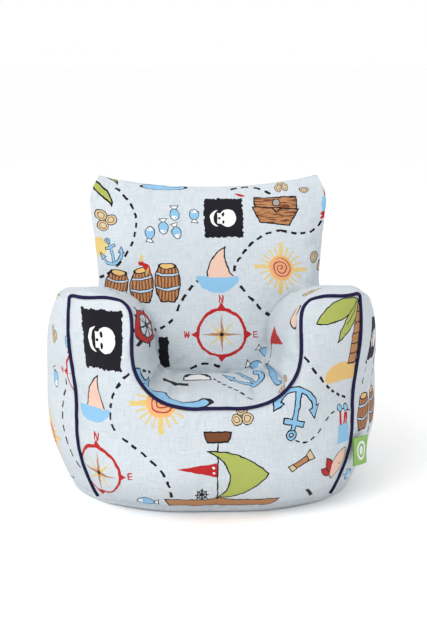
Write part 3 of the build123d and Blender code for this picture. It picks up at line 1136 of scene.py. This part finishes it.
def chest(s):
    lower = s.polygon((-25, -19), (19, -24), (33, 2), (-34, 6))
    upper = s.polygon((-31, 6), (31, 2), (30, 22), (-32, 22))
    grain = s.cloth.noise(s.vector("MULTIPLY", s.place, (0.05, 0.4, 0.0)), 1.0, 2.0)
    wood = s.cloth.mix(grain.less(0.47), TAN, BROWN)
    for part in (upper, lower):
        s.draw(part, wood, INK, 2.0)
    s.draw(s.disc(0, 13, 6), IRON, INK)
    s.strokes(INK, 1.0, ((-8, 5), (0, -4)), ((0, -4), (8, 4)))


def spyglass(s):
    s.draw(s.box(0, 0, 14, 4), TAN, INK, 1.6)
    s.draw(s.box(-17, 0, 4, 5), CREAM, INK, 1.6)
    s.draw(s.polygon((14, -5), (24, -8), (24, 8), (14, 5)), CREAM, INK, 1.6)


def palm(s):
    cloth = s.cloth
    s.draw(s.both(s.oval(-26, -98, 38, 19) + cloth.rag * 0.4, -(s.xy()[1] + 108)), SAND)
    trunk = s.polygon((-16, -84), (4, -84), (8, 0), (-6, 0))
    s.draw(trunk, TAN, INK, 1.8)
    rungs = s.math("FRACT", s.xy()[1] * (1 / 14)).less(0.12)
    cloth.paint(rungs * trunk.less(0.0), INK)
    for tip, below, above in (((-78, -20), 9, 20), ((-42, -48), 9, 9)):
        s.draw(s.lens((0, 4), tip, below, above), GREEN, INK, 1.9)
    s.strokes(INK, 0.8, ((-4, 0), (-26, -26)))


def leaf(s):
    s.draw(s.lens((0, 0), (30, -24), 12, -4), GREEN, INK, 1.8)


def pennant(s):
    s.strokes(INK, 0.8, ((0, -38), (4, 6)))
    s.draw(s.polygon((0, -6), (34, -7), (4, 14)), RED)


def ship(s):
    s.draw(s.polygon((-70, -64), (80, -66), (92, -48), (-78, -46)), TAN, INK, 2.0)
    s.strokes(INK, 1.1, ((0, -50), (0, 50)))
    s.draw(s.polygon((-15, 50), (15, 50), (20, 64), (-20, 64)), BROWN, INK, 2.2)
    above = s.disc(*round_through((-15, 36), (40, 26), (76, 0)))
    below = s.disc(*round_through((76, 0), (46, -28), (-2, -46)))
    behind = s.disc(*round_through((-15, 36), (17, -1), (-2, -46)))
    s.draw(s.both(above, below, -behind, -(s.xy()[0] + 15)), GREEN, INK, 2.0)
    s.draw(s.polygon((-61, 9), (-1, -4), (-1, 19)), RED)
    s.draw(s.either(s.disc(-6, 12, 2.2), s.disc(-6, 3, 2.2)), WHITE)


def helm(s):
    s.draw(s.rays(8, 1.0, 0, 11), INK)
    s.draw(s.ring(0, 0, 7, 1.0), INK)


def bucket(s):
    s.strokes(RED, 2.6, ((-8, 4), (-8, 26)), ((-1, 4), (6, 24)), ((8, 4), (10, 24)))
    s.draw(s.box(0, -9, 16, 15) + s.cloth.rag * 0.3, SKY)
    s.draw(s.either(s.disc(-8, 34, 6), s.disc(9, 34, 6)), SKY, INK, 1.6)


def red_tail(s):
    """A rosy fish with a forked tail."""
    for tip in ((-30, 12), (-20, 26)):
        s.draw(s.lens((-4, -4), tip, 6, 6), RED, INK)
    s.draw(s.lens((-8, -12), (22, 28), 16, 14), PEACH, INK)
    s.draw(s.disc(10, 6, 1.4), INK)


def ribbon(s):
    s.draw(s.box(0, 0, 8, 26) + s.cloth.rag * 0.5, INK)


def wave(s):
    crest = s.both(s.oval(0, 0, 34, 13), -s.disc(14, 16, 16))
    s.draw(crest, SKY, INK, 1.6)


def gull(s):
    """A seabird with a dark crown, half hidden in the water."""
    s.draw(s.both(s.disc(0, 0, 16), -s.xy()[1]), WHITE, INK, 1.6)
    s.draw(s.both(s.ring(0, -2, 16, 2.4), -(s.xy()[1] - 6)), INK)
    s.draw(s.polygon((-4, 5), (4, 5), (0, 0)), INK)


def grit(s):
    s.draw(s.oval(0, 0, 10, 17) + s.cloth.rag * 0.4, SUNNY)


def flame(s):
    s.draw(s.lens((-10, 2), (8, -3), 2.4, 2.4), RED)


def cross(s):
    s.strokes(RED, 3.0, ((-5, -4), (5, 4)), ((-5, 4), (5, -4)))


def bird(s):
    s.draw(s.lens((-4, 8), (12, -14), 6, 3), RED)
    s.draw(s.disc(-4, 6, 4.5), RED)
    s.draw(s.lens((-4, 8), (-2, 20), 3, 3), SUNNY)
    s.draw(s.lens((8, -2), (4, -16), 3, 1), GREEN)


def petal(s):
    s.draw(s.lens((0, -16), (0, 16), 8, 6), PEACH, INK, 1.6)


DASH = 10.5  # length of one dash of a trail
DASH_PITCH = 18


def trail(cloth, *points, half=2.0, pitch=DASH_PITCH):
    """Dashes along arcs, each arc through three points and the next one starting at its end."""
    for a, b, c in zip(points[::2], points[1::2], points[2::2]):
        x, y, radius = round_through(a, b, c)
        angles = [math.atan2(p[1] - y, p[0] - x) for p in (a, b, c)]
        middle = angles[1]
        reach = [math.remainder(t - middle, 2 * math.pi) for t in (angles[0], angles[2])]
        span = (abs(reach[0]) + abs(reach[1])) / 2
        middle += (reach[0] + reach[1]) / 2
        s = Stamp(cloth, x, y, math.degrees(middle))
        px, py = s.xy()
        turn = cloth.math("ARCTAN2", py, px)
        count = max(1, round(2 * span * radius / pitch))
        dash = cloth.math("FRACT", (turn + span) * (count / (2 * span))).less(DASH / DASH_PITCH)
        band = cloth.vector("LENGTH", s.place).near(radius, half)
        cloth.paint(dash * band * turn.near(0.0, span), INK)


# Each drawing: what, where across and up the flat cloth, then turn in degrees, and size across
# and up, where they aren't 0 and 1.
LAYOUT = {
    "inside_back_panel": (
        (leaf, -206, 306, 8, 1.5), (leaf, -190, 330, 20, 1.1), (coins, -167, 251),
        (grit, -178, 204), (anchor, -160, 198, 18, 0.62), (fish, -56, 261, 0, 0.85),
        (fish, -24, 263, 180, 0.8),
        (fish, -95, 229, 180, 0.85), (fish, -74, 237, 0, 0.85), (fish, -53, 229, 14, 0.85),
        (wave, -74, 316, 0, 1.1, 0.5), (flag, 23, 256, 0, 0.98, 1.14), (flame, 52, 299),
        (chest, 108, 267, 0, 1.1, 1.1), (coins, 120, 317, 90, 0.9, 0.6),
        (coin, 156, 303, 0, 0.8, 0.6),
        (bucket, 196, 282, 0, 0.8, 1), (cross, 190, 256), (sun, 114, 168, 0, 1.04),
        (coin, 172, 186, 0, 0.8, 1), (coin, 185, 170, 0, 0.8, 1), (sail_boat, 12, 153),
        (barrel, -152, 140, -8), (barrel, -110, 140), (barrel, -68, 143, 0, 1.05),
        (bird, -106, 171), (compass, 17, 65, 0, 0.98, 0.99), (ribbon, -75, 35, 4),
        (fish, 72, 10, 80, 0.9), (fish, 88, 33, 60, 0.9),
    ),
    "seat_band": (
        (anchor, 42, -72, 20, 0.9, 2.3), (gull, -25, -108, 0, 1.3, 3.2),
        (wave, -72, -212, 0, 1.9, 1.8), (ribbon, -60, -134, 90, 0.9, 0.8),
        (wheel, -180, -116, -9, 1.15, 3.6), (wave, -122, -205, 60, 0.9, 1),
        (pennant, 146, -69, -75, 2.5, 1.4), (wave, 98, -124, -90, 1.7, 0.7),
        (coin, 112, -196, 0, 0.8), (coin, 100, -216, 0, 0.8), (petal, 208, -178, -60, 2, 1.3),
        (coins, 250, -90), (fish, -250, -60, 30),
    ),
    "front_panel": (
        (flag, -168, 267, 0, 1.0, 1.34), (sail_boat, -190, 166, 0, 0.95), (sun, -80, 181, 0, 1.04),
        (coins, 38, 163, 90, 0.9), (compass, -182, 69), (fish, -104, 20, -90), (ship, 1, 75),
        (helm, -22, 38), (anchor, 113, 165, 170, 1.06), (palm, 224, 308), (spyglass, 124, 90, 35),
        (red_tail, 190, 66), (bucket, 204, 126, 0, 0.9), (ribbon, 140, 30, 30, 0.4),
        (ribbon, -222, 36, 45, 0.5, 0.8),
    ),
    "headrest_rear_panel": (
        (compass, 0, 372, 0, 0.9), (sail_boat, -112, 350), (sun, 118, 378, 0, 0.9),
        (fish, -60, 420), (fish, -84, 432, 180), (coins, 62, 320), (barrel, 176, 340),
        (anchor, -172, 380, -20, 0.8), (fish, 66, 436, 90),
    ),
    "side_panel_right": (
        (flag, 326, 250, -8, 0.72, 1.0), (barrel, 298, 142, -4), (barrel, 340, 142, 4),
        (fish, 300, 40, 60), (compass, 400, 238, 0, 0.9), (sun, 400, 92), (sail_boat, 500, 96),
        (flag, 512, 224, 0, 1.1, 1.2), (fish, 462, 160, 90), (anchor, 606, 214), (wheel, 596, 96),
        (chest, 700, 206), (coins, 668, 108), (fish, 690, 40), (leaf, 560, 150, 20, 1.3),
        (spyglass, 740, 110, 30),
    ),
    "side_panel_left": (
        (coins, -310, 262, 0, 0.7), (fish, -264, 262, 180, 0.9), (compass, -250, 214, 0, 0.8),
        (sun, -360, 98), (fish, -330, 190, 30), (palm, -400, 290, 0, 0.9), (chest, -492, 110),
        (sail_boat, -500, 210), (barrel, -570, 120), (barrel, -612, 118),
        (flag, -640, 226, 0, 1.1, 1.2), (anchor, -700, 96, 160), (fish, -560, 226),
        (fish, -582, 206, 180), (coins, -740, 200), (spyglass, -430, 60, 20),
    ),
}

# Each trail is a run of arcs: start, a point on the way, end, a point on the way, end, ...
TRAILS = {
    "inside_back_panel": (
        ((-160, 313), (-138, 296), (-121, 270), (-117, 240), (-127, 206), (-146, 180), (-184, 152)),
        ((30, 306), (64, 315), (100, 298)),
        ((188, 252), (180, 240), (164, 230), (140, 227), (116, 232), (76, 217), (50, 184),
         (39, 160), (48, 137), (72, 112), (104, 86)),
        ((-14, 149), (-42, 122), (-57, 95), (-74, 79), (-100, 72)),
        ((-40, 1), (-14, 13), (14, 8)),
    ),
    "seat_band": (
        ((0, -100), (24, -156), (60, -208)),
        ((-148, -230), (-132, -196), (-116, -158)),
    ),
    "front_panel": (
        ((-110, 232), (-140, 206), (-153, 178), (-156, 155), (-146, 134), (-115, 113), (-88, 88),
         (-73, 62), (-67, 34)),
        ((116, 262), (138, 227), (163, 199), (188, 181), (222, 170)),
    ),
    "headrest_rear_panel": (
        ((-150, 300), (-96, 312), (-50, 298)),
        ((60, 350), (64, 400), (120, 436)),
    ),
    "side_panel_right": (
        ((290, 226), (306, 206), (300, 186)), ((330, 60), (350, 200), (450, 290)),
        ((440, 40), (550, 60), (560, 180), (590, 262), (660, 262)),
        ((640, 60), (650, 160), (730, 160)),
    ),
    "side_panel_left": (
        ((-270, 60), (-300, 130), (-290, 200)),
        ((-330, 30), (-440, 60), (-440, 150), (-450, 250), (-540, 264)),
        ((-540, 60), (-640, 50), (-660, 150), (-680, 260), (-740, 262)),
    ),
}
THIN_TRAILS = {"front_panel": (((114, 124), (142, 124), (160, 143), (182, 154), (222, 149)),)}


def printed_cloth(name):
    cloth = Cloth("print_" + name)
    cloth.linen(PALE, HATCH)
    cloth.start_print()
    for line in TRAILS[name]:
        trail(cloth, *line)
    for line in THIN_TRAILS.get(name, ()):
        trail(cloth, *line, half=1.2, pitch=13)
    for what, *where in LAYOUT[name]:
        what(Stamp(cloth, *where))
    cloth.weave(0.35, 0.6)
    return cloth.finish()


def plain(name, color, tint, rough=0.8):
    cloth = Cloth(name)
    cloth.linen(color, tint)
    cloth.weave(0.3)
    return cloth.finish(rough, 0.0)


navy = plain("navy_piping", (0.009, 0.007, 0.040), (0.014, 0.011, 0.058), 0.7)
base_cloth = plain("base_cloth", PALE, HATCH)
white = plain("white_bag", (0.8, 0.8, 0.8), (0.7, 0.7, 0.7))


def label_weave():
    """Green satin ribbon with plain ovals one inside another, and no lettering."""
    cloth = Cloth("label_weave")
    cloth.linen(SATIN, (0.30, 0.52, 0.15))
    cloth.hand = cloth.flat
    s = Stamp(cloth, 18, 22)
    for half_x, half_y, color in ((11, 15, WHITE), (7.5, 11, SATIN), (4, 7, WHITE)):
        s.draw(s.oval(0, 0, half_x, half_y), color)
    cloth.weave(0.5)
    return cloth.finish(0.55, 0.1)


def hard(name, color, rough, pitch):
    """A moulded or enamelled surface with fine marks, in the object's own space."""
    material, tree, shader = new_material(name)
    nodes, links = tree.nodes, tree.links
    where = nodes.new("ShaderNodeTexCoord")
    grain = nodes.new("ShaderNodeTexNoise")
    put(grain, Scale=pitch, Detail=3)
    links.new(where.outputs["Object"], grain.inputs["Vector"])
    shade = nodes.new("ShaderNodeMix")
    shade.data_type = "RGBA"
    shade.inputs[6].default_value = (*color, 1)
    shade.inputs[7].default_value = (*(v * 0.8 for v in color), 1)
    links.new(grain.outputs[0], shade.inputs[0])
    links.new(shade.outputs[2], shader.inputs["Base Color"])
    bump = nodes.new("ShaderNodeBump")
    put(bump, Strength=0.2, Distance=0.0002)
    links.new(grain.outputs[0], bump.inputs["Height"])
    links.new(bump.outputs[0], shader.inputs["Normal"])
    put(shader, Roughness=rough)
    return material


coil = hard("nylon_coil", (0.72, 0.73, 0.75), 0.35, 900)
enamel = hard("white_enamel", (0.78, 0.78, 0.78), 0.3, 500)
tape_weave = plain("tape_weave", (0.66, 0.67, 0.69), (0.52, 0.54, 0.57))
finishes = [(piping, navy), (cord, white), (liner, white), (beads, white), (label, label_weave())]
finishes += [(strip, tape_weave) for strip in tapes]
for node, mat in (("zip_coil_left", coil), ("zip_coil_right", coil), ("zip_slider", enamel),
                  ("zip_top_stop", enamel), ("zip_bottom_stop", enamel)):
    finishes.append((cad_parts[node], mat))
for name, piece in panels.items():
    finishes.append((piece, base_cloth if name == "base_panel" else printed_cloth(name)))
for piece, mat in finishes:
    piece.data.materials.clear()
    piece.data.materials.append(mat)

# ---- Studio ----
FLOOR = 60  # half the floor's width in metres, so that its edge is never in view
floor_mesh = bpy.data.meshes.new("floor")
floor_mesh.from_pydata([(x * FLOOR, y * FLOOR, 0) for x, y in ((-1, -1), (1, -1), (1, 1), (-1, 1))],
                       [], [(0, 1, 2, 3)])
floor = linked("floor", floor_mesh)
floor_white, _, floor_shader = new_material("floor_white")
put(floor_shader, Base_Color=(0.99, 0.99, 0.99, 1), Roughness=0.9)
floor_mesh.materials.append(floor_white)

world = bpy.data.worlds.new("studio")
bpy.context.scene.world = world
world.use_nodes = True
put(world.node_tree.nodes["Background"], Color=(1, 1, 1, 1), Strength=1.0)


def aimed(obj, place, target):
    obj.location = place
    obj.rotation_euler = (target - obj.location).to_track_quat("-Z", "Y").to_euler()


key = bpy.data.lights.new("key", "AREA")
key.energy = 34
key.size = 1.5
aimed(linked("key", key), (-1.2, -1.6, 2.0), Vector((0, 0, 0.2)))

bpy.context.scene.view_settings.view_transform = "Standard"

AIM = Vector((0.004, 0.0, 0.2545))
ELEVATION, AZIMUTH, DISTANCE = 11.5, -2.2, 2.1
SENSOR = 36  # the camera's own, in millimetres
VIEW_HEIGHT = 1.024  # metres from the bottom of the view to its top, where it is aimed
camera = bpy.data.cameras.new("camera")
camera.lens = SENSOR * DISTANCE / VIEW_HEIGHT
camera_object = linked("camera", camera)
e, a = math.radians(ELEVATION), math.radians(AZIMUTH)
back = Vector((math.sin(a) * math.cos(e), -math.cos(a) * math.cos(e), math.sin(e)))
aimed(camera_object, AIM + DISTANCE * back, AIM)
bpy.context.scene.camera = camera_object
